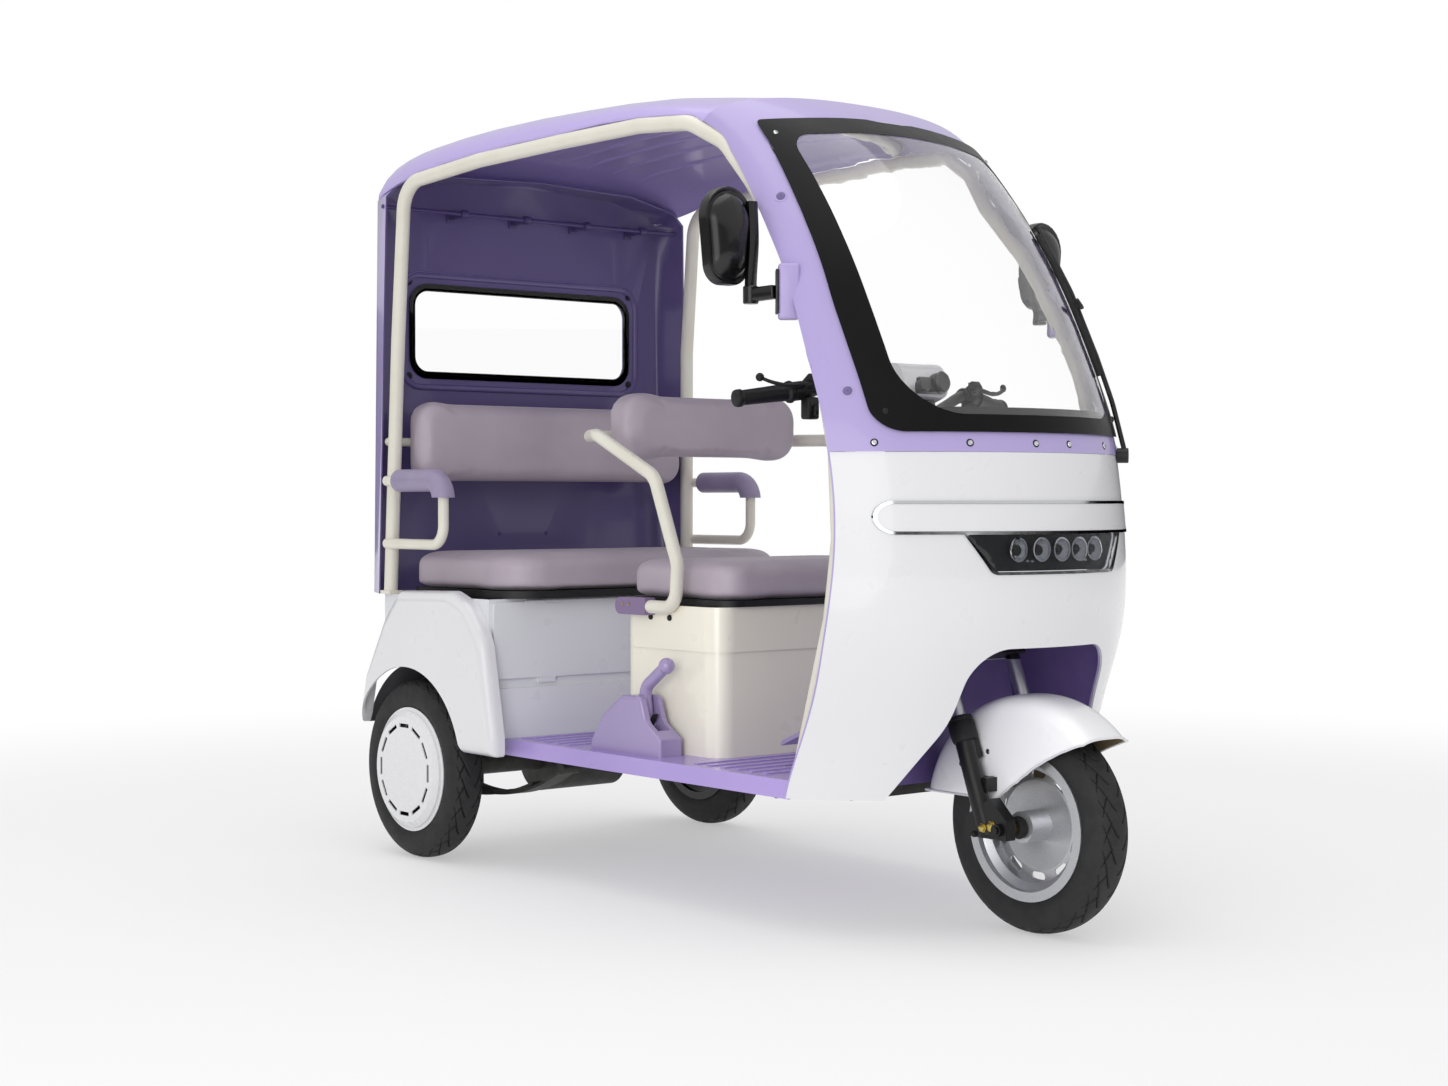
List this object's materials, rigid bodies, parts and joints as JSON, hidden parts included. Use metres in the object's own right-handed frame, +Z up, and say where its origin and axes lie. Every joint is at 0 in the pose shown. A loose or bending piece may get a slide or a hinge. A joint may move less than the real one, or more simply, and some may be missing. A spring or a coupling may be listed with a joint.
{
  "type": "auto rickshaw",
  "caption": "Three-wheeled auto rickshaw with a driver's seat under handlebars, a passenger bench, a fixed roof and windscreen, opening seat lids and turning wheels.",
  "frame": {"origin": "on the ground under the middle of the vehicle's bounding box", "axes": "+X forward, +Y to the driver's left, +Z up"},
  "size_m": [1.948, 1.006, 1.6903],
  "materials": {
    "tyre": "matt",
    "wheel_silver": "satin silver",
    "wheel_white": "gloss",
    "frame_dark": "satin",
    "axle_dark": "rough",
    "deck_grey": "satin",
    "cream": "satin",
    "cream_tube": "gloss",
    "seat_base_black": "matt",
    "leatherette": "satin",
    "battery_grey": "matt",
    "body_white": "gloss",
    "black_plastic": "matt",
    "purple_dark": "gloss",
    "lilac": "gloss",
    "chrome": "polished",
    "lamp_glass": "polished",
    "clear_glass": "polished",
    "black_metal": "satin",
    "fork_chrome": "satin",
    "bar_chrome": "polished",
    "black_rubber": "matt",
    "mirror_black": "gloss"
  },
  "bodies": {
    "chassis": {"frame": "frame_dark", "rear_axle": "axle_dark", "floor_deck": "deck_grey", "bench_box": "cream", "battery": "battery_grey", "rear_fenders": "body_white", "wheel_liners": "black_plastic", "rear_panel": "body_white", "glazing": "clear_glass", "roof": "body_white", "side_frame_right": "cream_tube", "side_frame_left": "cream_tube", "back_rail": "cream_tube", "screen_frame": "body_white", "front_shield": "body_white", "shield_liner": "lilac", "wheel_well": "purple_dark", "chrome_trim": "chrome", "head_lamp": "lamp_glass", "bench_backrest": "leatherette", "armrest_pads": "purple_dark", "seat_box": "cream", "seat_hoop": "cream_tube", "hoop_clamps": "purple_dark", "driver_backrest": "leatherette", "hand_brake": "black_plastic", "foot_pedal": "black_plastic", "mirrors": "mirror_black", "wiper": "black_metal", "dashboard": "black_plastic"},
    "steering_assembly": {"front_fork": "fork_chrome", "handlebar": "bar_chrome", "hand_controls": "black_rubber", "instrument_pod": "body_white", "front_fender": "body_white"},
    "front_wheel": {"front_tyre": "tyre", "front_rim": "wheel_silver"},
    "rear_wheel_right": {"rear_tyre_right": "tyre", "rear_rim_right": "wheel_white"},
    "rear_wheel_left": {"rear_tyre_left": "tyre", "rear_rim_left": "wheel_white"},
    "bench_lid": {"bench_base": "seat_base_black", "bench_cushion": "leatherette"},
    "bench_flap": {"bench_flap": "cream"},
    "driver_seat_lid": {"seat_base": "seat_base_black", "driver_cushion": "leatherette"}
  },
  "joints": [
    {"name": "steering", "type": "hinge", "parent": "chassis", "child": "steering_assembly", "pos_m": [0.726, 0, 0.205], "axis": [-0.342, 0, 0.9397], "range_deg": [-24, 24]},
    {"name": "front_wheel_spin", "type": "hinge", "parent": "steering_assembly", "child": "front_wheel", "pos_m": [0.769, 0, 0.205], "axis": [0, 1, 0], "continuous": true},
    {"name": "rear_wheel_right_spin", "type": "hinge", "parent": "chassis", "child": "rear_wheel_right", "pos_m": [-0.746, -0.4215, 0.205], "axis": [0, 1, 0], "continuous": true},
    {"name": "rear_wheel_left_spin", "type": "hinge", "parent": "chassis", "child": "rear_wheel_left", "pos_m": [-0.746, 0.4215, 0.205], "axis": [0, 1, 0], "continuous": true},
    {"name": "bench_lid_hinge", "type": "hinge", "parent": "chassis", "child": "bench_lid", "pos_m": [-0.823, 0, 0.6094], "axis": [0, -1, 0], "range_deg": [0, 40]},
    {"name": "bench_flap_hinge", "type": "hinge", "parent": "chassis", "child": "bench_flap", "pos_m": [-0.45, 0, 0.597], "axis": [0, -1, 0], "range_deg": [0, 80]},
    {"name": "driver_seat_hinge", "type": "hinge", "parent": "chassis", "child": "driver_seat_lid", "pos_m": [-0.157, 0, 0.6094], "axis": [0, -1, 0], "range_deg": [0, 70]}
  ]
}
